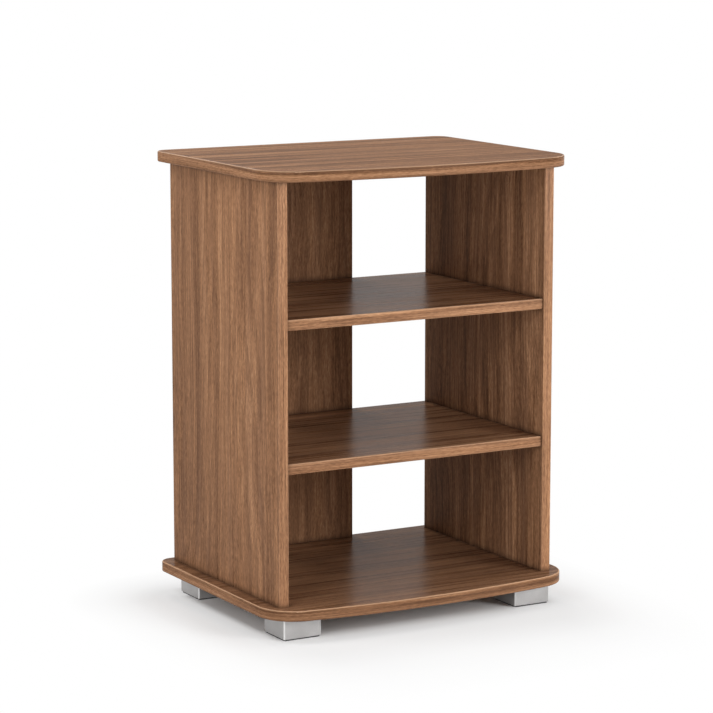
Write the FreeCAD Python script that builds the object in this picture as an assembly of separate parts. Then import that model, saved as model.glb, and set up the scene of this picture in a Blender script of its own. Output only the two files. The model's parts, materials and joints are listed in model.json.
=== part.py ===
"""Open media stand: three bays between a bow-fronted top and base, on four square feet.

Millimetres, +Z up, the front faces -Y. The origin is on the floor, under the
middle of the overall width and depth. Boards are faced chipboard, edged with
glued bands, and come apart at dowels, cam locks and screws.
"""
import FreeCAD
import Part

import math
import os

# Boards and their edging
BOARD = 18.0
BACK_BOARD = 15.0
SHOWN_BAND = 3.0
REAR_BAND = 1.0
GLUE_LINE = 0.1
ARRIS = 2.2

# Carcass
CARCASS_WIDTH = 528.0
SIDE_DEPTH = 390.0
LOWER_BAY = 218.0
MIDDLE_BAY = 219.0
UPPER_BAY = 226.0
SHELF_SETBACK = 4.0
BACK_WIDTH = 190.0

# Plan of the top and base, which are alike
SIDE_OVERHANG = 25.0
FRONT_OVERHANG = 54.0
REAR_OVERHANG = 16.0
BOW_RADIUS = 1650.0
FRONT_CORNER = 66.0
REAR_CORNER = 24.0

# Feet: moulded shells, open below and closed by a glide
FOOT_SIDE = 70.0
FOOT_HEIGHT = 36.0
FOOT_CORNER = 3.0
FOOT_ARRIS = 1.2
FOOT_WALL = 3.0
FOOT_PLATE = 3.0
FOOT_RIB = 2.0
FOOT_SIDE_INSET = 30.0
FOOT_FRONT_INSET = 48.0
FOOT_REAR_INSET = 30.0
BOSS_OFFSET = 16.0
BOSS_RADIUS = 6.0
BOSS_DEPTH = 9.0
GLIDE_HEIGHT = 2.0
GLIDE_INSET = 2.0
PLUG_HEIGHT = 4.0
PLUG_WALL = 3.0

# Dowels
DOWEL_RADIUS = 4.0
DOWEL_LENGTH = 30.0
DOWEL_IN_FACE = 11.0
DOWEL_CHAMFER = 1.0

# Cam locks, with their bolts and caps
CAM_RADIUS = 7.5
CAM_DEPTH = 12.6
CAM_SETBACK = 34.0
CAM_SINK = 0.5
CAM_SOCKET_RADIUS = 2.8
CAM_SOCKET_DEPTH = 3.5
BOLT_THREAD_RADIUS = 2.5
BOLT_THREAD_LENGTH = 11.0
BOLT_SHANK_RADIUS = 3.0
BOLT_NECK_RADIUS = 1.9
BOLT_NECK_LENGTH = 5.0
BOLT_HEAD_RADIUS = 3.0
BOLT_HEAD_LENGTH = 4.0
BOLT_BORE_RADIUS = 3.9
CAP_RADIUS = 8.6
CAP_THICKNESS = 0.6
CAP_SPIGOT = 2.5

# Screws: head radius, head height, shank radius, length under the head's top
CARCASS_SCREW = (5.0, 3.0, 3.2, 52.0)
BACK_SCREW = (4.0, 2.6, 2.0, 48.0)
FOOT_SCREW = (3.6, 2.2, 1.9, 26.0)
SCREW_TIP = 3.0

# Cross recess in every screw head, for one driver: reach of each arm, width and depth
DRIVER_REACH = 2.2
DRIVER_SLOT = 1.0
DRIVER_DEPTH = 1.6

# Where the fastenings stand, measured in from a board's front or rear edge
TOP_DOWEL_INSET = 50.0
TOP_CAM_INSET = 120.0
BASE_DOWEL_INSET = 40.0
BASE_SCREW_INSET = 130.0
SHELF_CAM_INSET = 70.0
BACK_SCREW_SPACING = 100.0
BACK_DOWEL_SPACING = 120.0

# Clearances: a pin in its bore, the air past a pin's end, and a cut past a face
FIT = 0.1
END_ROOM = 1.0
OVERRUN = 2.0

# Levels and planes that follow from the sizes above
BASE_BOTTOM = GLIDE_HEIGHT + FOOT_HEIGHT
BASE_TOP = BASE_BOTTOM + BOARD
LOWER_SHELF_BOTTOM = BASE_TOP + LOWER_BAY
UPPER_SHELF_BOTTOM = LOWER_SHELF_BOTTOM + BOARD + MIDDLE_BAY
TOP_BOTTOM = UPPER_SHELF_BOTTOM + BOARD + UPPER_BAY
SIDE_HEIGHT = TOP_BOTTOM - BASE_TOP
PANEL_WIDTH = CARCASS_WIDTH + 2 * SIDE_OVERHANG
PANEL_DEPTH = FRONT_OVERHANG + SIDE_DEPTH + REAR_OVERHANG
PANEL_FRONT = -PANEL_DEPTH / 2
PANEL_REAR = PANEL_DEPTH / 2
SIDE_FRONT = PANEL_FRONT + FRONT_OVERHANG
SIDE_REAR = SIDE_FRONT + SIDE_DEPTH
SHELF_FRONT = SIDE_FRONT + SHELF_SETBACK
SIDE_OUTER = CARCASS_WIDTH / 2
SIDE_INNER = SIDE_OUTER - BOARD
SIDE_MIDDLE = SIDE_OUTER - BOARD / 2
BACK_MIDDLE = SIDE_REAR + BACK_BOARD / 2
FOOT_SCREW_SEAT = BASE_BOTTOM - FOOT_PLATE - BOSS_DEPTH

V = FreeCAD.Vector
X, Y, Z = V(1, 0, 0), V(0, 1, 0), V(0, 0, 1)
HANDS = {"left": -1, "right": 1}
SHELVES = {"lower": LOWER_SHELF_BOTTOM, "upper": UPPER_SHELF_BOTTOM}


def pair(value):
    """The two mirrored values of a half spacing."""
    return (-value, value)


def block(low, high):
    """A box between two opposite corners."""
    size = high - low
    return Part.makeBox(size.x, size.y, size.z, low)


def turned(profile, base, axis):
    """A solid of revolution: (radius, height) points up an axis from a base point."""
    points = [V(radius, 0, height) for radius, height in profile]
    points = [V(0, 0, profile[0][1])] + points + [V(0, 0, profile[-1][1])]
    face = Part.Face(Part.makePolygon(points + points[:1]))
    solid = face.revolve(V(0, 0, 0), Z, 360)
    solid.Placement = FreeCAD.Placement(base, FreeCAD.Rotation(Z, axis))
    return solid


def bore(mouth, inward, radius, depth):
    """A round cutter that enters a face at its mouth and runs inward."""
    return Part.makeCylinder(radius, depth + OVERRUN, mouth - inward * OVERRUN, inward)


def drilled(solid, cutters):
    """The solid with every cutter taken out of it."""
    return solid.cut(Part.makeCompound(cutters)).Solids[0] if cutters else solid


# Plan outline of the top and base

def plan_face(inset, level):
    """The bow-fronted plan, drawn in by inset all round, as a face at a level."""
    half = PANEL_WIDTH / 2 - inset
    rear = PANEL_REAR - inset
    bow = BOW_RADIUS - inset
    corner = FRONT_CORNER - inset
    heel = REAR_CORNER - inset
    apex = V(0, PANEL_FRONT + inset, level)
    bow_centre = apex + Y * bow
    rise = math.sqrt((bow - corner) ** 2 - (half - corner) ** 2)
    corner_centre = V(half - corner, bow_centre.y - rise, level)
    heel_centre = V(half - heel, rear - heel, level)
    to_bow = (corner_centre - bow_centre) / (bow - corner)
    diagonal = V(1, 1, 0).normalize()

    bow_end = corner_centre + to_bow * corner
    corner_middle = corner_centre + (to_bow + X).normalize() * corner
    side_start = corner_centre + X * corner
    side_end = heel_centre + X * heel
    heel_middle = heel_centre + diagonal * heel
    rear_end = heel_centre + Y * heel

    def across(point):
        return V(-point.x, point.y, point.z)

    right = [Part.Arc(bow_end, corner_middle, side_start),
             Part.LineSegment(side_start, side_end),
             Part.Arc(side_end, heel_middle, rear_end)]
    left = [Part.Arc(across(rear_end), across(heel_middle), across(side_end)),
            Part.LineSegment(across(side_end), across(side_start)),
            Part.Arc(across(side_start), across(corner_middle), across(bow_end))]
    front = [Part.Arc(across(bow_end), apex, bow_end)]
    back = [Part.LineSegment(rear_end, across(rear_end))]
    return Part.Face(Part.Wire([curve.toShape() for curve in front + right + back + left]))


def plan_core(level):
    """The chipboard core inside the band."""
    return plan_face(SHOWN_BAND + GLUE_LINE, level).extrude(Z * BOARD)


def plan_band(level):
    """The band that runs all round, with both long edges rounded over."""
    whole = plan_face(0, level).extrude(Z * BOARD)
    rims = [edge for edge in whole.Edges if edge.BoundBox.ZLength < ARRIS]
    rounded = whole.makeFillet(ARRIS, rims)
    hole = plan_face(SHOWN_BAND, level - OVERRUN).extrude(Z * (BOARD + 2 * OVERRUN))
    return rounded.cut(hole).Solids[0]


# Straight boards and their bands

def shown_band(corner, along, across, outward):
    """A rounded strip on a board's edge: along its length, across the board, outward its thickness."""
    side = V(across).normalize() * ARRIS
    top = V(outward).normalize() * ARRIS
    outer = corner + outward
    far = outer + across
    knee = 1 - math.sqrt(0.5)
    wire = [Part.LineSegment(corner, outer - top),
            Part.Arc(outer - top, outer + (side - top) * knee, outer + side),
            Part.LineSegment(outer + side, far - side),
            Part.Arc(far - side, far - (side + top) * knee, far - top),
            Part.LineSegment(far - top, corner + across),
            Part.LineSegment(corner + across, corner)]
    return Part.Face(Part.Wire([curve.toShape() for curve in wire])).extrude(along)


def side_core(hand):
    """An upright between base and top, less its front and rear bands."""
    low_x, high_x = sorted((hand * SIDE_OUTER, hand * SIDE_INNER))
    return block(V(low_x, SIDE_FRONT + SHOWN_BAND + GLUE_LINE, BASE_TOP),
                 V(high_x, SIDE_REAR - REAR_BAND - GLUE_LINE, TOP_BOTTOM))


def side_bands(hand):
    """The front and rear bands of an upright."""
    low_x, high_x = sorted((hand * SIDE_OUTER, hand * SIDE_INNER))
    front = shown_band(V(low_x, SIDE_FRONT + SHOWN_BAND, BASE_TOP), Z * SIDE_HEIGHT, X * BOARD,
                       Y * -SHOWN_BAND)
    rear = block(V(low_x, SIDE_REAR - REAR_BAND, BASE_TOP), V(high_x, SIDE_REAR, TOP_BOTTOM))
    return {"front": front, "rear": rear}


def shelf_core(level):
    """A fixed shelf between the uprights, less its front and rear bands."""
    return block(V(-SIDE_INNER, SHELF_FRONT + SHOWN_BAND + GLUE_LINE, level),
                 V(SIDE_INNER, SIDE_REAR - REAR_BAND - GLUE_LINE, level + BOARD))


def shelf_bands(level):
    """The front and rear bands of a shelf."""
    front = shown_band(V(-SIDE_INNER, SHELF_FRONT + SHOWN_BAND, level), X * (2 * SIDE_INNER), Z * BOARD,
                       Y * -SHOWN_BAND)
    rear = block(V(-SIDE_INNER, SIDE_REAR - REAR_BAND, level), V(SIDE_INNER, SIDE_REAR, level + BOARD))
    return {"front": front, "rear": rear}


def back_core():
    """The upright plank behind the shelves, less the bands on its two long edges."""
    half = BACK_WIDTH / 2 - SHOWN_BAND - GLUE_LINE
    return block(V(-half, SIDE_REAR, BASE_TOP), V(half, SIDE_REAR + BACK_BOARD, TOP_BOTTOM))


def back_band(hand):
    """The band on one long edge of the back plank."""
    inner = V(hand * (BACK_WIDTH / 2 - SHOWN_BAND), SIDE_REAR, BASE_TOP)
    return shown_band(inner, Z * SIDE_HEIGHT, Y * BACK_BOARD, X * (hand * SHOWN_BAND))


# Fastenings: each joint is a mouth point on the contact plane and a direction

def joint_rows(front, rear, inset):
    """Two depths, the same inset from a board's front and rear edges."""
    return (front + inset, rear - inset)


def upright_joints(level, inset):
    """Points under the top, or on the base, along the middle of each upright."""
    return [V(x, y, level) for x in pair(SIDE_MIDDLE)
            for y in joint_rows(SIDE_FRONT, SIDE_REAR, inset)]


def shelf_joints(depths):
    """Each shelf end's points on the inside of its upright, with the way into the upright."""
    return [(V(hand * SIDE_INNER, y, level + BOARD / 2), X * hand)
            for level in SHELVES.values() for hand in HANDS.values() for y in depths]


TOP_DOWELS = [(point, Z) for point in upright_joints(TOP_BOTTOM, TOP_DOWEL_INSET)]
TOP_CAMS = [(point, Z) for point in upright_joints(TOP_BOTTOM, TOP_CAM_INSET)]
BASE_DOWELS = [(point, -Z) for point in upright_joints(BASE_TOP, BASE_DOWEL_INSET)]
BASE_SCREWS = [(point, Z) for point in upright_joints(BASE_BOTTOM, BASE_SCREW_INSET)]
SHELF_CAMS = shelf_joints(joint_rows(SHELF_FRONT, SIDE_REAR, SHELF_CAM_INSET))
SHELF_DOWELS = shelf_joints([(SHELF_FRONT + SIDE_REAR) / 2])
BACK_DOWELS = [(V(x, BACK_MIDDLE, level), way) for x in pair(BACK_DOWEL_SPACING / 2)
               for level, way in ((TOP_BOTTOM, Z), (BASE_TOP, -Z))]
BACK_SCREWS = [(V(x, SIDE_REAR + BACK_BOARD, level + BOARD / 2), -Y)
               for x in pair(BACK_SCREW_SPACING / 2) for level in SHELVES.values()]


def dowel(joint):
    """A chamfered pin, part in the face board and the rest in the end of the other."""
    point, into_face = joint
    narrow = DOWEL_RADIUS - DOWEL_CHAMFER
    profile = [(narrow, 0), (DOWEL_RADIUS, DOWEL_CHAMFER),
               (DOWEL_RADIUS, DOWEL_LENGTH - DOWEL_CHAMFER), (narrow, DOWEL_LENGTH)]
    return turned(profile, point - into_face * (DOWEL_LENGTH - DOWEL_IN_FACE), into_face)


def dowel_bores(joints):
    """Cutters for dowels on both sides of their contact planes."""
    in_end = DOWEL_LENGTH - DOWEL_IN_FACE + END_ROOM
    radius = DOWEL_RADIUS + FIT
    face_side = [bore(point, way, radius, DOWEL_IN_FACE + END_ROOM) for point, way in joints]
    end_side = [bore(point, -way, radius, in_end) for point, way in joints]
    return face_side, end_side


def cam_frame(joint, outward):
    """A cam's centre on the board's face, from its joint and the way out of that face."""
    point, into_face = joint
    return point - into_face * CAM_SETBACK + outward * (BOARD / 2)


def cam_bolt(joint):
    """Threaded into the face board, with a headed neck that the cam draws in."""
    head_start = CAM_SETBACK - BOLT_HEAD_LENGTH / 2
    neck_start = head_start - BOLT_NECK_LENGTH
    profile = [(BOLT_THREAD_RADIUS, -BOLT_THREAD_LENGTH), (BOLT_THREAD_RADIUS, 0),
               (BOLT_SHANK_RADIUS, 0), (BOLT_SHANK_RADIUS, neck_start),
               (BOLT_NECK_RADIUS, neck_start), (BOLT_NECK_RADIUS, head_start),
               (BOLT_HEAD_RADIUS, head_start), (BOLT_HEAD_RADIUS, head_start + BOLT_HEAD_LENGTH)]
    return turned(profile, joint[0], -joint[1])


def cam_lock(joint, outward):
    """A drum with a driver socket on its face and a keyway for the bolt's head."""
    top = cam_frame(joint, outward) - outward * CAM_SINK
    drum = Part.makeCylinder(CAM_RADIUS, CAM_DEPTH, top, -outward)
    socket = bore(top, -outward, CAM_SOCKET_RADIUS, CAM_SOCKET_DEPTH)
    centre = joint[0] - joint[1] * CAM_SETBACK
    reach = BOLT_HEAD_LENGTH / 2 + FIT
    pocket = Part.makeCylinder(BOLT_HEAD_RADIUS + FIT, 2 * reach, centre - joint[1] * reach, joint[1])
    keyway = Part.makeCylinder(BOLT_NECK_RADIUS + FIT, CAM_RADIUS + OVERRUN, centre, joint[1])
    return drilled(drum, [socket, pocket, keyway])


def cam_cap(joint, outward):
    """A thin cover over the cam's bore, held by a spigot in the cam's socket."""
    face = cam_frame(joint, outward)
    profile = [(CAM_SOCKET_RADIUS - FIT, -CAP_SPIGOT), (CAM_SOCKET_RADIUS - FIT, 0), (CAP_RADIUS, 0),
               (CAP_RADIUS, CAP_THICKNESS / 2), (CAP_RADIUS - CAP_THICKNESS / 2, CAP_THICKNESS)]
    return turned(profile, face, outward)


def cam_bores(joints, outward_of):
    """Cutters for bolts in the face board, and for cams and bolts in the other board."""
    face_side = [bore(point, way, BOLT_THREAD_RADIUS + FIT, BOLT_THREAD_LENGTH + END_ROOM)
                 for point, way in joints]
    end_side = []
    for joint in joints:
        outward = outward_of(joint)
        end_side.append(bore(cam_frame(joint, outward), -outward, CAM_RADIUS + FIT,
                             CAM_SINK + CAM_DEPTH + FIT))
        end_side.append(bore(joint[0], -joint[1], BOLT_BORE_RADIUS, CAM_SETBACK))
    return face_side, end_side


def driver_recess(joint):
    """The cross that a driver fits, sunk into a screw's head."""
    point, way = joint
    arms = []
    for x, y in ((DRIVER_REACH, DRIVER_SLOT / 2), (DRIVER_SLOT / 2, DRIVER_REACH)):
        arm = block(V(-x, -y, -OVERRUN), V(x, y, DRIVER_DEPTH))
        arm.Placement = FreeCAD.Placement(point, FreeCAD.Rotation(Z, way)).multiply(arm.Placement)
        arms.append(arm)
    return arms[0].fuse(arms[1])


def screw(size, joint):
    """A countersunk screw with a cross recess, its head flush with the mouth of its bore."""
    head, head_height, shank, length = size
    point, way = joint
    profile = [(head, 0), (shank, head_height), (shank, length - SCREW_TIP), (shank / 4, length)]
    return drilled(turned(profile, point, way), [driver_recess(joint)])


def screw_bore(size, joint):
    """A cutter for a countersunk screw, with the same fit all round."""
    head, head_height, shank, length = size
    point, way = joint
    profile = [(head + FIT, -OVERRUN), (head + FIT, 0), (shank + FIT, head_height),
               (shank + FIT, length + END_ROOM)]
    return turned(profile, point, way)


def into_bay(joint):
    """Out of an upright's inner face, towards the bays."""
    return X * -math.copysign(1, joint[0].x)


def under_shelf(joint):
    """Out of a shelf's underside."""
    return -Z


# Feet and glides

def square_face(side, corner, centre):
    """A square with rounded corners, level with its centre point."""
    half = side / 2
    corners = [V(half, half, 0), V(-half, half, 0), V(-half, -half, 0), V(half, -half, 0)]
    curves = []
    for here, after in zip(corners, corners[1:] + corners[:1]):
        run = (after - here).normalize() * corner
        turn = run.cross(Z)
        start = centre + here + run
        stop = centre + after - run
        pivot = stop - turn
        bend = pivot + (turn + run).normalize() * corner
        curves.append(Part.LineSegment(start, stop))
        curves.append(Part.Arc(stop, bend, pivot + run))
    return Part.Face(Part.Wire([curve.toShape() for curve in curves]))


def foot_centres():
    """Each foot's name and the middle of its footprint on the floor."""
    half = FOOT_SIDE / 2
    reach = PANEL_WIDTH / 2 - FOOT_SIDE_INSET - half
    rows = {"front": PANEL_FRONT + FOOT_FRONT_INSET + half, "rear": PANEL_REAR - FOOT_REAR_INSET - half}
    return {f"{row}_{hand}": V(sign * reach, y, 0)
            for row, y in rows.items() for hand, sign in HANDS.items()}


def foot_joints(centre):
    """The two screws of a foot, on a diagonal, driven up from inside the shell."""
    return [(centre + V(offset, offset, FOOT_SCREW_SEAT), Z) for offset in pair(BOSS_OFFSET)]


def foot(centre):
    """A shell with a closed top plate, cross ribs and two screw bosses."""
    floor = centre + Z * GLIDE_HEIGHT
    outer = square_face(FOOT_SIDE, FOOT_CORNER, floor).extrude(Z * FOOT_HEIGHT)
    rims = [edge for edge in outer.Edges if edge.BoundBox.ZMax < floor.z + FOOT_ARRIS]
    outer = outer.makeFillet(FOOT_ARRIS, rims)
    inside = FOOT_SIDE - 2 * FOOT_WALL
    room = square_face(inside, FOOT_CORNER / 2, floor - Z * OVERRUN)
    shell = outer.cut(room.extrude(Z * (OVERRUN + FOOT_HEIGHT - FOOT_PLATE)))
    ceiling = floor.z + FOOT_HEIGHT - FOOT_PLATE
    rib_foot = floor.z + PLUG_HEIGHT + FIT
    long = inside / 2 + FOOT_WALL / 2
    thin = FOOT_RIB / 2
    seat = FOOT_PLATE / 2
    ribs = [block(V(centre.x - x, centre.y - y, rib_foot), V(centre.x + x, centre.y + y, ceiling + seat))
            for x, y in ((long, thin), (thin, long))]
    bosses = [Part.makeCylinder(BOSS_RADIUS, BOSS_DEPTH + seat, point, Z)
              for point, way in foot_joints(centre)]
    body = shell.multiFuse(ribs + bosses).removeSplitter()
    return drilled(body, [screw_bore(FOOT_SCREW, joint) for joint in foot_joints(centre)])


def glide(centre):
    """A pad under the foot, with a rim that plugs into the shell."""
    pad = square_face(FOOT_SIDE - 2 * GLIDE_INSET, FOOT_CORNER, centre).extrude(Z * GLIDE_HEIGHT)
    plug_side = FOOT_SIDE - 2 * FOOT_WALL - 2 * FIT
    seat = centre + Z * (GLIDE_HEIGHT / 2)
    rise = Z * (GLIDE_HEIGHT / 2 + PLUG_HEIGHT)
    plug = square_face(plug_side, FOOT_CORNER / 2, seat).extrude(rise)
    hollow = square_face(plug_side - 2 * PLUG_WALL, FOOT_CORNER / 2, centre + Z * GLIDE_HEIGHT)
    return pad.fuse(plug).cut(hollow.extrude(Z * (PLUG_HEIGHT + OVERRUN))).removeSplitter().Solids[0]


# Assembly: bores are shared out to the boards that each joint meets

def on_hand(joints, hand):
    """The joints on one side of the stand."""
    return [joint for joint in joints if joint[0].x * hand > 0]


def at_level(joints, level):
    """The joints at the mid-thickness of the shelf whose underside is at a level."""
    return [joint for joint in joints if level < joint[0].z < level + BOARD]


def top_and_base_pieces():
    """The two bow-fronted boards, bored for what stands between them."""
    top_joints = [dowel_bores(TOP_DOWELS)[0], cam_bores(TOP_CAMS, into_bay)[0],
                  dowel_bores([joint for joint in BACK_DOWELS if joint[0].z == TOP_BOTTOM])[0]]
    base_joints = [dowel_bores(BASE_DOWELS)[0], [screw_bore(CARCASS_SCREW, joint) for joint in BASE_SCREWS],
                   dowel_bores([joint for joint in BACK_DOWELS if joint[0].z == BASE_TOP])[0],
                   [screw_bore(FOOT_SCREW, joint) for centre in foot_centres().values()
                    for joint in foot_joints(centre)]]
    return {"top_panel": drilled(plan_core(TOP_BOTTOM), sum(top_joints, [])),
            "top_edge_band": plan_band(TOP_BOTTOM),
            "base_panel": drilled(plan_core(BASE_BOTTOM), sum(base_joints, [])),
            "base_edge_band": plan_band(BASE_BOTTOM)}


def upright_pieces():
    """The two side panels and their bands."""
    pieces = {}
    for name, hand in HANDS.items():
        cuts = [dowel_bores(on_hand(TOP_DOWELS, hand))[1], dowel_bores(on_hand(BASE_DOWELS, hand))[1],
                cam_bores(on_hand(TOP_CAMS, hand), into_bay)[1],
                dowel_bores(on_hand(SHELF_DOWELS, hand))[0],
                cam_bores(on_hand(SHELF_CAMS, hand), under_shelf)[0],
                [screw_bore(CARCASS_SCREW, joint) for joint in on_hand(BASE_SCREWS, hand)]]
        pieces[f"{name}_side_panel"] = drilled(side_core(hand), sum(cuts, []))
        for edge, band in side_bands(hand).items():
            pieces[f"{name}_side_{edge}_band"] = band
    return pieces


def shelf_pieces():
    """The two fixed shelves and their bands, the rear ones pierced by the back screws."""
    pieces = {}
    for name, level in SHELVES.items():
        back = [screw_bore(BACK_SCREW, joint) for joint in at_level(BACK_SCREWS, level)]
        cuts = [dowel_bores(at_level(SHELF_DOWELS, level))[1],
                cam_bores(at_level(SHELF_CAMS, level), under_shelf)[1], back]
        bands = shelf_bands(level)
        pieces[f"{name}_shelf"] = drilled(shelf_core(level), sum(cuts, []))
        pieces[f"{name}_shelf_front_band"] = bands["front"]
        pieces[f"{name}_shelf_rear_band"] = drilled(bands["rear"], back)
    return pieces


def back_pieces():
    """The back plank and the bands on its long edges."""
    cuts = dowel_bores(BACK_DOWELS)[1] + [screw_bore(BACK_SCREW, joint) for joint in BACK_SCREWS]
    pieces = {"back_panel": drilled(back_core(), cuts)}
    for name, hand in HANDS.items():
        pieces[f"back_panel_{name}_band"] = back_band(hand)
    return pieces


def foot_pieces():
    """Four feet and the glide under each."""
    pieces = {}
    for name, centre in foot_centres().items():
        pieces[f"{name}_foot"] = foot(centre)
        pieces[f"{name}_glide"] = glide(centre)
    return pieces


def fastening_pieces():
    """Each kind of fastening at each kind of joint, as a group of separate solids."""
    cams = [(joint, into_bay(joint)) for joint in TOP_CAMS]
    shelf_cams = [(joint, under_shelf(joint)) for joint in SHELF_CAMS]
    foot_screws = [joint for centre in foot_centres().values() for joint in foot_joints(centre)]
    groups = {
        "top_dowels": [dowel(joint) for joint in TOP_DOWELS],
        "base_dowels": [dowel(joint) for joint in BASE_DOWELS],
        "shelf_dowels": [dowel(joint) for joint in SHELF_DOWELS],
        "back_panel_dowels": [dowel(joint) for joint in BACK_DOWELS],
        "top_cam_bolts": [cam_bolt(joint) for joint in TOP_CAMS],
        "top_cam_locks": [cam_lock(*cam) for cam in cams],
        "top_cam_caps": [cam_cap(*cam) for cam in cams],
        "shelf_cam_bolts": [cam_bolt(joint) for joint in SHELF_CAMS],
        "shelf_cam_locks": [cam_lock(*cam) for cam in shelf_cams],
        "shelf_cam_caps": [cam_cap(*cam) for cam in shelf_cams],
        "base_screws": [screw(CARCASS_SCREW, joint) for joint in BASE_SCREWS],
        "back_panel_screws": [screw(BACK_SCREW, joint) for joint in BACK_SCREWS],
        "foot_screws": [screw(FOOT_SCREW, joint) for joint in foot_screws],
    }
    return {name: Part.makeCompound(solids) for name, solids in groups.items()}


def main():
    """Build every piece and write each to its own file."""
    pieces = {}
    for make in (top_and_base_pieces, upright_pieces, shelf_pieces, back_pieces, foot_pieces,
                 fastening_pieces):
        pieces.update(make())
    os.makedirs("parts", exist_ok=True)
    for name, shape in pieces.items():
        shape.exportStep(f"parts/{name}.step")
        box = shape.BoundBox
        print(f"{name}: {len(shape.Solids)} solid(s), valid {shape.isValid()}, "
              f"{box.XLength:.1f} x {box.YLength:.1f} x {box.ZLength:.1f} mm")


main()
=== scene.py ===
"""Looks for the open media stand: walnut-look boards, silver feet, a pale studio."""

import json
import math

import bmesh
import bpy
from mathutils import Color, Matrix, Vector


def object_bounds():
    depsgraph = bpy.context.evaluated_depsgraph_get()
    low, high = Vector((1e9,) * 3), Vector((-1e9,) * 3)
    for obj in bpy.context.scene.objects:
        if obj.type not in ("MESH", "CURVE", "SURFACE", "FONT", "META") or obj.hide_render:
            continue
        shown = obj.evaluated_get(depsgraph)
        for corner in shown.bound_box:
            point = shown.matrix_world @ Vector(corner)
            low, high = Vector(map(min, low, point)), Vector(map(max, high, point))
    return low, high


# Camera: where it stands (m), how far it turns to the right of +Y and looks down (degrees), its lens and the
# width of its sensor (mm)
CAMERA_AT = Vector((-2.3853, -4.1536, 1.2245))
CAMERA_TURN = 29.668
CAMERA_DOWN = 9.476
CAMERA_LENS = 143.447
SENSOR_WIDTH = 36.0

# Light: the room's level as a lamp and as a background, softbox places (m), sizes (m) and powers (W), and the
# height at which all of them aim (m)
ROOM_LEVEL = 0.055
WHITE_LEVEL = 1.0
SOFTBOXES = {
    "left": {"at": (-2.5, -1.2, 0.95), "size": 1.8, "power": 52.0},
    "left_rear": {"at": (-1.9, 0.4, 2.6), "size": 1.2, "power": 26.0},
    "front": {"at": (2.1, -3.5, 1.2), "size": 1.6, "power": 130.0},
    "right": {"at": (2.4, -0.9, 1.3), "size": 1.4, "power": 19.0},
    "overhead": {"at": (1.0, -0.3, 3.2), "size": 2.4, "power": 25.0},
    "back": {"at": (0.1, 3.3, 3.2), "size": 1.8, "power": 52.0},
}
AIM_HEIGHT = 0.42

# Floor: half its side (m), the share of light that it shows, how far inside the stand's outline its shadow
# starts to fade (m), how far past that it has faded on each side (m) and by which shares, and the share of
# light that it throws back
FLOOR_HALF = 60.0
FLOOR_SHARE = 0.88
FLOOR_TUCK = Vector((0.03, 0.07, 0.0))
FLOOR_REACH = {"left": 0.22, "front": 0.42, "right": 0.20, "behind": 0.20}
FLOOR_FADE = ((0.0, 0.0), (0.09, 0.38), (0.28, 0.39), (0.42, 0.54), (0.53, 0.70), (0.72, 0.86), (1.0, 1.0))
FLOOR_BOUNCE = 0.60

# Noise: its middle, and the levels between which most of it lies
NOISE_MIDDLE = 0.5
NOISE_LEVELS = (0.3, 0.7)

# Walnut tones, dark to light, the shades of its growth rings, thin lines, pores and tints, the painted
# contact shade towards joints and the painted highlight on rounded edges, and the tint of its gloss, as sRGB
# out of 255
WALNUT_TONES = ((0.00, (88, 59, 40)), (0.30, (128, 91, 65)), (0.55, (154, 112, 81)), (0.80, (174, 130, 96)),
                (1.00, (196, 150, 114)))
RING_SHADE = (104, 72, 51)
LINE_SHADE = (84, 57, 40)
PORE_SHADE = (70, 47, 34)
TINT_SHADE = (140, 106, 84)
PAINTED_CONTACT_SHADE = (46, 30, 21)
ARRIS_HIGHLIGHT_SHADE = (214, 176, 144)
GLARE_TINT = (255, 232, 218)

# Grain layers: features per metre across the grain, how many times longer than wide they run, and the detail
# and roughness of their noise
LAYERS = {
    "streaks": {"per_metre": 10.0, "times": 18.0, "detail": 5.0, "roughness": 0.95},
    "flecks": {"per_metre": 280.0, "times": 2.5, "detail": 1.0, "roughness": 0.7},
    "lines": {"per_metre": 240.0, "times": 60.0, "detail": 1.0, "roughness": 0.5},
    "pores": {"per_metre": 700.0, "times": 9.0, "detail": 0.0, "roughness": 0.5},
    "tints": {"per_metre": 26.0, "times": 16.0, "detail": 2.0, "roughness": 0.5},
    "rings": {"per_metre": 4.0, "times": 18.0, "detail": 1.0, "roughness": 0.4},
    "wander": {"per_metre": 5.0, "times": 2.0, "detail": 1.0, "roughness": 0.5},
}

# Tone: the noise levels over which streaks and flecks move it, and how far they move it either way
TONE_MIDDLE = 0.5
STREAK_LEVELS = (0.25, 0.75)
STREAK_REACH = 0.62
FLECK_LEVELS = (0.2, 0.8)
FLECK_REACH = 0.30

# Masks: the noise levels between which tints, thin lines and pores come in, and their shares at both
TINT_MASK = (0.35, 0.7, 0.0, 0.35)
LINE_MASK = (0.54, 0.68, 0.0, 0.5)
PORE_MASK = (0.60, 0.72, 0.0, 0.45)

# Growth rings: how many a whole step of their noise holds, the parts of a ring over which its line comes in
# and goes out, the levels of the tints over which lines grow to full strength, and their share before that
RING_COUNT = 30.0
RING_RISE = (0.45, 0.94)
RING_FALL = (1.0, 0.94)
RING_LEVELS = (0.35, 0.65)
RING_FAINT = 0.3

# Arched growth rings: how fast they climb away from the middle of a board (per square metre) and along it
# (per metre)
ARCH_SPREAD = 16.0
ARCH_RISE = 0.12

# Painted contact shade: boards are painted darker over this distance (m) towards the line where they meet.
# How open a face is where that starts and ends, the share of that painted shade at its end, and the rays that
# find this out
CONTACT_SHADE_REACH = 0.010
CONTACT_SHADE_OPENNESS = (1.0, 0.5)
CONTACT_SHADE_SHARE = 0.6
CONTACT_SHADE_RAYS = 8

# Painted highlight on rounded edges: the levels of roundness, a quarter at most, between which they are
# painted pale
ARRIS_HIGHLIGHT_LEVELS = (0.02, 0.25)

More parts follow.
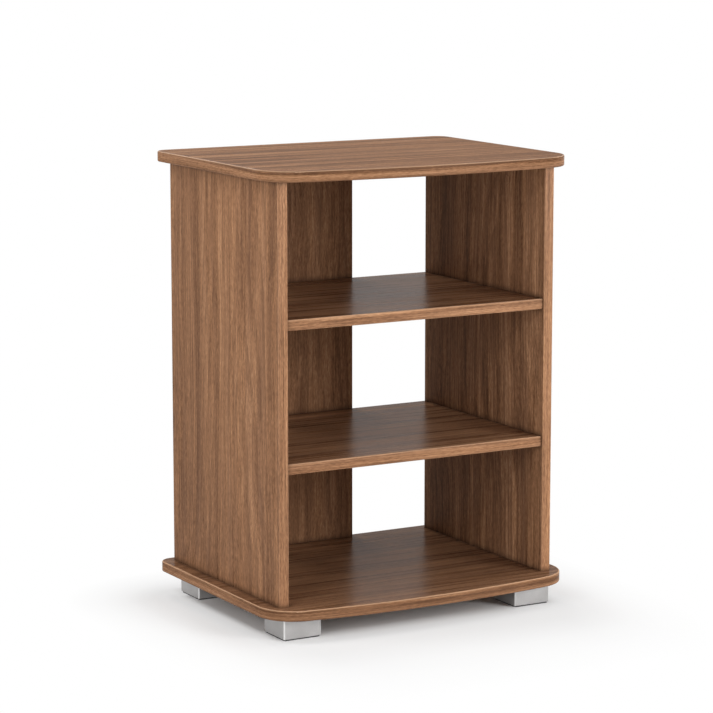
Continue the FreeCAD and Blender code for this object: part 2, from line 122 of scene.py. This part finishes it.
# Walnut surface: how far its roughness swings about its middle, and the strength and depth (m) of its bumps
WALNUT_SWING = (-0.05, 0.06)
WALNUT_BUMP = (0.04, 0.0002)

# How far one cut of the decor lies from the next (m)
CUT_STEP = (1.37, 2.11, 0.83)

# The cuts of the decor: boards, grain direction and how far it wanders (m), fineness, contrast, lightness,
# roughness, gloss, whether its growth rings are arched, and the strengths of those rings and of the painted
# highlight on its rounded edges
# Lightness, and the right upright's contrast, differ between these cuts of one decor partly as painted light
# and shade: lower on the back panel and on boards seen in shade inside the stand, higher on the front-lit
# bands
CUTS = {
    "top": {"nodes": ("top_panel",), "along": "X", "wander": 0.012, "fineness": 3.2, "contrast": 1.75,
            "lightness": 0.96, "roughness": 0.50, "gloss": 0.012, "rings": 0.3},
    "shelf": {"nodes": ("upper_shelf", "lower_shelf"), "along": "X", "wander": 0.010, "fineness": 3.0,
              "contrast": 1.5, "lightness": 0.91, "roughness": 0.28, "gloss": 0.013, "rings": 0.3},
    "base": {"nodes": ("base_panel",), "along": "X", "wander": 0.010, "fineness": 3.0, "contrast": 1.2,
             "lightness": 0.86, "roughness": 0.28, "gloss": 0.014, "rings": 0.3},
    "left_upright": {"nodes": ("left_side_panel",), "along": "Z", "wander": 0.050, "fineness": 2.3,
                     "contrast": 0.95, "lightness": 0.97, "roughness": 0.45, "gloss": 0.026,
                     "arched": True, "rings": 0.6},
    "right_upright": {"nodes": ("right_side_panel",), "along": "Z", "wander": 0.050, "fineness": 2.3,
                      "contrast": 1.35, "lightness": 0.90, "roughness": 0.45, "gloss": 0.020,
                      "arched": True, "rings": 0.6},
    "back": {"nodes": ("back_panel",), "along": "Z", "wander": 0.040, "fineness": 2.3, "contrast": 0.9,
             "lightness": 0.83, "roughness": 0.45, "gloss": 0.026, "arched": True, "rings": 0.6},
    "ring_band": {"nodes": ("top_edge_band", "base_edge_band"), "along": "XY", "wander": 0.0, "fineness": 4.5,
                  "contrast": 1.35, "lightness": 0.95, "roughness": 0.26, "gloss": 0.018, "arris_highlight": 0.55},
    "shelf_band": {"nodes": ("upper_shelf_front_band", "upper_shelf_rear_band", "lower_shelf_front_band",
                             "lower_shelf_rear_band"),
                   "along": "X", "wander": 0.004, "fineness": 4.0, "contrast": 1.4, "lightness": 1.12,
                   "roughness": 0.27, "gloss": 0.05, "arris_highlight": 0.40},
    "upright_band": {"nodes": ("left_side_front_band", "left_side_rear_band", "right_side_front_band",
                               "right_side_rear_band", "back_panel_left_band", "back_panel_right_band"),
                     "along": "Z", "wander": 0.006, "fineness": 3.0, "contrast": 0.95, "lightness": 1.22,
                     "roughness": 0.27, "gloss": 0.08, "arris_highlight": 0.10},
}

# Cover caps are printed with the decor of a board that they lie on
CAPS = {"top_cam_caps": "right_side_panel", "shelf_cam_caps": "lower_shelf"}

# Silver lacquer: the noise of its flakes and clouds (features per metre, detail, roughness) and the flakes'
# share, its tones and the painted highlight on its upright edges as sRGB out of 255, the levels of roundness
# between which that painted highlight comes in and its shares at both, its roughness and how far that swings,
# the strength and depth (m) of its bumps, and how metallic it is
FLAKES = (2600.0, 2.0, 0.7)
CLOUDS = (26.0, 3.0, 0.5)
FLAKE_SHARE = 0.6
SILVER_TONES = ((158, 156, 155), (184, 182, 181))
SILVER_EDGE_HIGHLIGHT = (236, 236, 235)
SILVER_EDGE_HIGHLIGHT_MASK = (0.1, 0.5, 0.0, 0.7)
SILVER_ROUGHNESS = 0.35
SILVER_SWING = (-0.05, 0.05)
SILVER_BUMP = (0.05, 0.0001)
SILVER_METALLIC = 0.55

# Plain finishes by material slot: noise (features per metre, detail, roughness), tones as sRGB out of 255,
# roughness and how far it swings on metal, and the strength and depth (m) of the bumps
METAL = {"noise": (700.0, 4.0, 0.65), "swing": (-0.06, 0.08), "bump": (0.08, 0.0001), "metallic": 1.0}
PLAIN_FINISHES = {
    "glide_pad": {"name": "dark_pad", "noise": (900.0, 3.0, 0.65), "tones": ((26, 26, 27), (58, 58, 60)),
                  "roughness": 0.85, "bump": (0.3, 0.0004)},
    "dowel_wood": {"name": "dowel_wood", "noise": (420.0, 4.0, 0.6),
                   "tones": ((178, 138, 96), (214, 178, 134)), "roughness": 0.62, "bump": (0.15, 0.0002)},
    "cam_zinc": {"name": "cam_zinc", "tones": ((150, 150, 152), (186, 186, 188)), "roughness": 0.45, **METAL},
    "fastener_steel": {"name": "zinc_plated_steel", "tones": ((176, 176, 172), (210, 210, 206)),
                       "roughness": 0.32, **METAL},
}

# Places of a Mix node's colour sockets, whose names it has several times
MIX_FIRST = 6
MIX_SECOND = 7
MIX_RESULT = 2


def linear(colour, lightness=1.0):
    """An sRGB colour out of 255, lightened or darkened, as a linear RGBA tuple."""
    straight = Color([part / 255 for part in colour]).from_srgb_to_scene_linear()
    return tuple(min(1.0, part * lightness) for part in straight) + (1.0,)


def grey(level):
    """A neutral linear colour."""
    return (level, level, level, 1.0)


class Nodes:
    """A short way to add and join the nodes of one material or world."""

    def __init__(self, owner):
        owner.use_nodes = True
        self.owner = owner
        self.tree = owner.node_tree
        self.tree.nodes.clear()

    @classmethod
    def of_material(cls, name):
        """The nodes of a new material."""
        return cls(bpy.data.materials.new(name))

    def add(self, kind, inputs=None, **settings):
        """A node with its settings, its inputs set to values or joined to sockets."""
        node = self.tree.nodes.new(kind)
        for name, value in settings.items():
            setattr(node, name, value)
        for name, value in (inputs or {}).items():
            if isinstance(value, bpy.types.NodeSocket):
                self.tree.links.new(value, node.inputs[name])
            else:
                node.inputs[name].default_value = value
        return node

    def math(self, operation, first, second=0.0):
        """The result of one sum."""
        return self.add("ShaderNodeMath", {0: first, 1: second}, operation=operation).outputs[0]

    def vector(self, operation, first, second=(0, 0, 0), result="Vector"):
        """The result of one sum with vectors, a vector itself or a value."""
        inputs = {0: first, 1: second}
        return self.add("ShaderNodeVectorMath", inputs, operation=operation).outputs[result]

    def spread(self, value, low, high, to_low=0.0, to_high=1.0):
        """A value stretched from one range to another, and clamped."""
        inputs = {"Value": value, "From Min": low, "From Max": high, "To Min": to_low, "To Max": to_high}
        return self.add("ShaderNodeMapRange", inputs).outputs["Result"]

    def swing(self, noise, middle, reach):
        """A value that swings about its middle with a noise."""
        below, above = reach
        return self.spread(noise, *NOISE_LEVELS, middle + below, middle + above)

    def noise(self, vector, scale, detail, roughness):
        """Smooth noise, from 0 to 1 about a middle of a half."""
        inputs = {"Vector": vector, "Scale": scale, "Detail": detail, "Roughness": roughness}
        return self.add("ShaderNodeTexNoise", inputs).outputs["Fac"]

    def ramp(self, value, stops):
        """A colour ramp through (place, linear colour) stops."""
        node = self.add("ShaderNodeValToRGB", {"Fac": value})
        elements = node.color_ramp.elements
        for place, _ in stops[1:-1]:
            elements.new(place)
        for element, (place, colour) in zip(elements, stops):
            element.position = place
            element.color = colour
        return node.outputs["Color"]

    def two_tones(self, noise, tones):
        """A colour that goes from a dark to a light tone with a noise."""
        dark, light = tones
        return self.ramp(self.spread(noise, *NOISE_LEVELS), [(0.0, linear(dark)), (1.0, linear(light))])

    def mix(self, share, first, second):
        """Two colours mixed by a share."""
        inputs = {"Factor": share, MIX_FIRST: first, MIX_SECOND: second}
        return self.add("ShaderNodeMix", inputs, data_type="RGBA").outputs[MIX_RESULT]

    def mix_shaders(self, share, first, second):
        """Two shader nodes mixed by a share."""
        return self.add("ShaderNodeMixShader", {0: share, 1: first.outputs[0], 2: second.outputs[0]})

    def object_point(self, offset=(0, 0, 0)):
        """The point on the object, moved by an offset."""
        point = self.add("ShaderNodeTexCoord").outputs["Object"]
        return self.add("ShaderNodeMapping", {"Vector": point, "Location": offset}).outputs["Vector"]

    def normal_parts(self):
        """The X, Y and Z parts of the surface's normal."""
        normal = self.add("ShaderNodeNewGeometry").outputs["Normal"]
        return self.add("ShaderNodeSeparateXYZ", {"Vector": normal}).outputs

    def bump(self, height, strength, distance):
        """A bumped normal."""
        inputs = {"Height": height, "Strength": strength, "Distance": distance}
        return self.add("ShaderNodeBump", inputs).outputs["Normal"]

    def surface(self, **inputs):
        """The principled shader that closes the material."""
        named = {name.replace("_", " "): value for name, value in inputs.items()}
        shader = self.add("ShaderNodeBsdfPrincipled", named)
        self.add("ShaderNodeOutputMaterial", {"Surface": shader.outputs["BSDF"]})
        return self.owner


# Walnut-look facing and edging

def grain_layer(nodes, point, along, kind, fineness=1.0):
    """One layer of noise, drawn out along the grain and made finer across it."""
    layer = LAYERS[kind]
    scales = tuple(1 / layer["times"] if axis in along else fineness for axis in "XYZ")
    stretched = nodes.vector("MULTIPLY", point, scales)
    return nodes.noise(stretched, layer["per_metre"], layer["detail"], layer["roughness"])


def wandering_point(nodes, along, wander, seed):
    """The point on the object, pushed a little across the grain so that lines don't run dead straight."""
    point = nodes.object_point(tuple(step * seed for step in CUT_STEP))
    sway = nodes.math("SUBTRACT", grain_layer(nodes, point, along, "wander"), NOISE_MIDDLE)
    across = tuple(0.0 if axis in along else wander for axis in "XYZ")
    push = nodes.add("ShaderNodeVectorMath", {0: across, "Scale": sway}, operation="SCALE")
    return nodes.vector("ADD", point, push.outputs["Vector"])


def walnut_tone(nodes, streaks, flecks, contrast):
    """The place on the walnut tones that streaks and flecks give together."""
    reach = STREAK_REACH * contrast
    streaked = nodes.spread(streaks, *STREAK_LEVELS, TONE_MIDDLE - reach, TONE_MIDDLE + reach)
    return nodes.math("ADD", streaked, nodes.spread(flecks, *FLECK_LEVELS, -FLECK_REACH, FLECK_REACH))


def arch_field(nodes, along):
    """Rises along the grain and away from the middle of the board, so that its contours are tall arches."""
    point = nodes.object_point()
    across = nodes.vector("MULTIPLY", point, tuple(float(axis not in along) for axis in "XYZ"))
    square = nodes.vector("DOT_PRODUCT", across, across, "Value")
    ahead = nodes.vector("DOT_PRODUCT", point, tuple(float(axis in along) for axis in "XYZ"), "Value")
    climb = nodes.math("MULTIPLY", square, ARCH_SPREAD)
    return nodes.math("ADD", climb, nodes.math("MULTIPLY", ahead, ARCH_RISE))


def ring_share(nodes, point, along, tints, arched, strength):
    """Growth rings: lines that darken slowly and end at once, stronger in some places than in others."""
    field = grain_layer(nodes, point, along, "rings")
    if arched:
        field = nodes.math("ADD", field, arch_field(nodes, along))
    growth = nodes.math("FRACT", nodes.math("MULTIPLY", field, RING_COUNT))
    line = nodes.math("MULTIPLY", nodes.spread(growth, *RING_RISE), nodes.spread(growth, *RING_FALL))
    return nodes.math("MULTIPLY", line, nodes.spread(tints, *RING_LEVELS, strength * RING_FAINT, strength))


def painted_arris_highlight_share(nodes, along):
    """Painted highlight: one in the middle of a band's rounded edges, on a lying board the upper ones, nought
    on its flats.
    """
    parts = nodes.normal_parts()
    part = parts["Y"] if along == "Z" else nodes.math("MAXIMUM", parts["Z"], 0.0)
    square = nodes.math("MULTIPLY", part, part)
    roundness = nodes.math("MULTIPLY", square, nodes.math("SUBTRACT", 1.0, square))
    return nodes.spread(roundness, *ARRIS_HIGHLIGHT_LEVELS)


def painted_contact_shade_share(nodes):
    """Painted contact shade: rises from nought on an open face towards the line where another board meets it.
    """
    inputs = {"Distance": CONTACT_SHADE_REACH}
    openness = nodes.add("ShaderNodeAmbientOcclusion", inputs, samples=CONTACT_SHADE_RAYS).outputs["AO"]
    return nodes.spread(openness, *CONTACT_SHADE_OPENNESS, 0.0, CONTACT_SHADE_SHARE)


def walnut(name, seed, along, wander, fineness, contrast, lightness, roughness, gloss,
           arched=False, rings=0.0, arris_highlight=0.0):
    """Satin walnut decor whose grain runs along the named axis, or axes on a band that bends."""
    nodes = Nodes.of_material(name)
    point = wandering_point(nodes, along, wander, seed)
    kinds = ("streaks", "flecks", "lines", "pores", "tints")
    layers = [grain_layer(nodes, point, along, kind, fineness) for kind in kinds]
    streaks, flecks, lines, pores, tints = layers

    stops = [(place, linear(tone, lightness)) for place, tone in WALNUT_TONES]
    colour = nodes.ramp(walnut_tone(nodes, streaks, flecks, contrast), stops)
    colour = nodes.mix(nodes.spread(tints, *TINT_MASK), colour, linear(TINT_SHADE))
    if rings:
        share = ring_share(nodes, point, along, tints, arched, rings)
        colour = nodes.mix(share, colour, linear(RING_SHADE))
    colour = nodes.mix(nodes.spread(lines, *LINE_MASK), colour, linear(LINE_SHADE))
    pore_share = nodes.spread(pores, *PORE_MASK)
    colour = nodes.mix(pore_share, colour, linear(PORE_SHADE))
    # Painted highlight: rounded edges, on lying boards the upper ones, are painted pale
    if arris_highlight:
        pale = nodes.math("MULTIPLY", painted_arris_highlight_share(nodes, along), arris_highlight)
        colour = nodes.mix(pale, colour, linear(ARRIS_HIGHLIGHT_SHADE))
    # Painted contact shade: the boards darken towards the lines where other boards meet them
    colour = nodes.mix(painted_contact_shade_share(nodes), colour, linear(PAINTED_CONTACT_SHADE))

    normal = nodes.bump(nodes.math("SUBTRACT", streaks, pore_share), *WALNUT_BUMP)
    return nodes.surface(Base_Color=colour, Roughness=nodes.swing(streaks, roughness, WALNUT_SWING),
                         Normal=normal, Specular_IOR_Level=gloss, Specular_Tint=linear(GLARE_TINT))


# Other finishes

def painted_edge_highlight_share(nodes):
    """Painted highlight: highest in the middle of a foot's rounded upright edges, nought on its faces."""
    parts = nodes.normal_parts()
    roundness = nodes.math("ABSOLUTE", nodes.math("MULTIPLY", parts["X"], parts["Y"]))
    return nodes.spread(roundness, *SILVER_EDGE_HIGHLIGHT_MASK)


def silver_lacquer(name):
    """Satin metallic lacquer over moulded plastic, with a fine sparkle."""
    nodes = Nodes.of_material(name)
    point = nodes.object_point()
    flakes = nodes.noise(point, *FLAKES)
    clouds = nodes.noise(point, *CLOUDS)
    both = nodes.math("ADD", nodes.math("MULTIPLY", flakes, FLAKE_SHARE),
                      nodes.math("MULTIPLY", clouds, 1 - FLAKE_SHARE))
    colour = nodes.two_tones(both, SILVER_TONES)
    # Painted highlight along the foot's rounded upright edges
    colour = nodes.mix(painted_edge_highlight_share(nodes), colour, linear(SILVER_EDGE_HIGHLIGHT))
    return nodes.surface(Base_Color=colour, Roughness=nodes.swing(clouds, SILVER_ROUGHNESS, SILVER_SWING),
                         Normal=nodes.bump(flakes, *SILVER_BUMP), Metallic=SILVER_METALLIC)


def plain_finish(name, noise, tones, roughness, bump, swing=None, metallic=0.0):
    """Foam, dowel wood, and plated or cast metal, each a little uneven."""
    nodes = Nodes.of_material(name)
    mottle = nodes.noise(nodes.object_point(), *noise)
    if swing:
        roughness = nodes.swing(mottle, roughness, swing)
    return nodes.surface(Base_Color=nodes.two_tones(mottle, tones), Roughness=roughness,
                         Normal=nodes.bump(mottle, *bump), Metallic=metallic)


def dress(node, material):
    """Gives a frame node its finish."""
    node.data.materials.clear()
    node.data.materials.append(material)


def dress_boards(cad_nodes):
    """Every board and band gets its own cut of the walnut decor, and each cap a board's."""
    cuts = {}
    for cut in CUTS.values():
        look = {name: value for name, value in cut.items() if name != "nodes"}
        for node in cut["nodes"]:
            cuts[node] = walnut(f"walnut_{node}", len(cuts) + 1, **look)
            dress(cad_nodes[node], cuts[node])
    for cap, board in CAPS.items():
        dress(cad_nodes[cap], cuts[board])


def dress_by_slot(cad_nodes, subparts):
    """Every other node takes the finish of its material slot."""
    finishes = {"foot_shell": silver_lacquer("silver_lacquer")}
    for slot, look in PLAIN_FINISHES.items():
        finishes[slot] = plain_finish(**look)
    for part in subparts:
        if part["material_slot"] in finishes:
            dress(cad_nodes[part["node"]], finishes[part["material_slot"]])


# Studio

def light_path_share(nodes):
    """One for rays that show the background itself: seen, mirrored or through glass."""
    path = nodes.add("ShaderNodeLightPath").outputs
    seen = nodes.math("MAXIMUM", path["Is Camera Ray"], path["Is Glossy Ray"])
    return nodes.math("MAXIMUM", seen, path["Is Transmission Ray"])


def make_world():
    """A white room that lights the stand only a little by itself."""
    world = bpy.data.worlds.new("studio_world")
    bpy.context.scene.world = world
    nodes = Nodes(world)
    lit = nodes.add("ShaderNodeBackground", {"Color": grey(1.0), "Strength": ROOM_LEVEL})
    seen = nodes.add("ShaderNodeBackground", {"Color": grey(1.0), "Strength": WHITE_LEVEL})
    both = nodes.mix_shaders(light_path_share(nodes), lit, seen)
    nodes.add("ShaderNodeOutputWorld", {"Surface": both.outputs[0]})


def shadow_fade(nodes, box):
    """Nought under the stand, rising to one where its shadow has ended."""
    low, high = box
    point = nodes.add("ShaderNodeNewGeometry").outputs["Position"]
    before = nodes.vector("SUBTRACT", tuple(low + FLOOR_TUCK), point)
    before = nodes.vector("DIVIDE", before, (FLOOR_REACH["left"], FLOOR_REACH["front"], 1))
    beyond = nodes.vector("SUBTRACT", point, tuple(high - FLOOR_TUCK))
    beyond = nodes.vector("DIVIDE", beyond, (FLOOR_REACH["right"], FLOOR_REACH["behind"], 1))
    past = nodes.vector("MAXIMUM", nodes.vector("MAXIMUM", before, beyond))
    distance = nodes.vector("LENGTH", past, result="Value")
    return nodes.ramp(distance, [(place, grey(share)) for place, share in FLOOR_FADE])


def make_floor(box):
    """A wide pale floor, plain white to the eye but for the stand's shadow."""
    mesh = bpy.data.meshes.new("floor")
    shape = bmesh.new()
    bmesh.ops.create_grid(shape, x_segments=1, y_segments=1, size=FLOOR_HALF)
    shape.to_mesh(mesh)
    shape.free()
    floor = bpy.data.objects.new("floor", mesh)
    bpy.context.collection.objects.link(floor)
    nodes = Nodes.of_material("pale_floor")
    near = nodes.add("ShaderNodeBsdfDiffuse", {"Color": grey(FLOOR_SHARE)})
    far = nodes.add("ShaderNodeEmission", {"Strength": WHITE_LEVEL})
    seen = nodes.mix_shaders(shadow_fade(nodes, box), near, far)
    bounce = nodes.add("ShaderNodeBsdfDiffuse", {"Color": grey(FLOOR_BOUNCE)})
    both = nodes.mix_shaders(light_path_share(nodes), bounce, seen)
    nodes.add("ShaderNodeOutputMaterial", {"Surface": both.outputs[0]})
    mesh.materials.append(nodes.owner)


def make_lights():
    """Square softboxes, all aimed at about the middle of the stand."""
    aim = Vector((0, 0, AIM_HEIGHT))
    for name, box in SOFTBOXES.items():
        lamp = bpy.data.lights.new(f"{name}_softbox", "AREA")
        lamp.shape = "SQUARE"
        lamp.size = box["size"]
        lamp.energy = box["power"]
        holder = bpy.data.objects.new(lamp.name, lamp)
        holder.location = box["at"]
        holder.rotation_euler = (aim - holder.location).to_track_quat("-Z", "Y").to_euler()
        bpy.context.collection.objects.link(holder)


def make_camera():
    """A long lens, a little above the stand and to its front left."""
    data = bpy.data.cameras.new("camera")
    data.lens = CAMERA_LENS
    data.sensor_width = SENSOR_WIDTH
    camera = bpy.data.objects.new("camera", data)
    camera.location = CAMERA_AT
    camera.rotation_euler = (math.radians(90 - CAMERA_DOWN), 0, math.radians(-CAMERA_TURN))
    bpy.context.collection.objects.link(camera)
    bpy.context.scene.camera = camera


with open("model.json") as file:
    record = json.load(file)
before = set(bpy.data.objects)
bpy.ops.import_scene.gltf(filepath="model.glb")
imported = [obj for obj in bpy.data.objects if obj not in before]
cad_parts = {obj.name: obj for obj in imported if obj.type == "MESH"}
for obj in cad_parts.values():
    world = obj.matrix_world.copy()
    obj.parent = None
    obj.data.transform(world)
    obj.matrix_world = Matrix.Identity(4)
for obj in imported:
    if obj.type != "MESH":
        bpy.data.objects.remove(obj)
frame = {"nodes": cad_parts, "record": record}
cad_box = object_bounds()

dress_boards(frame["nodes"])
dress_by_slot(frame["nodes"], frame["record"]["subparts"])
make_world()
make_floor(cad_box)
make_lights()
make_camera()
bpy.context.scene.view_settings.view_transform = "Standard"
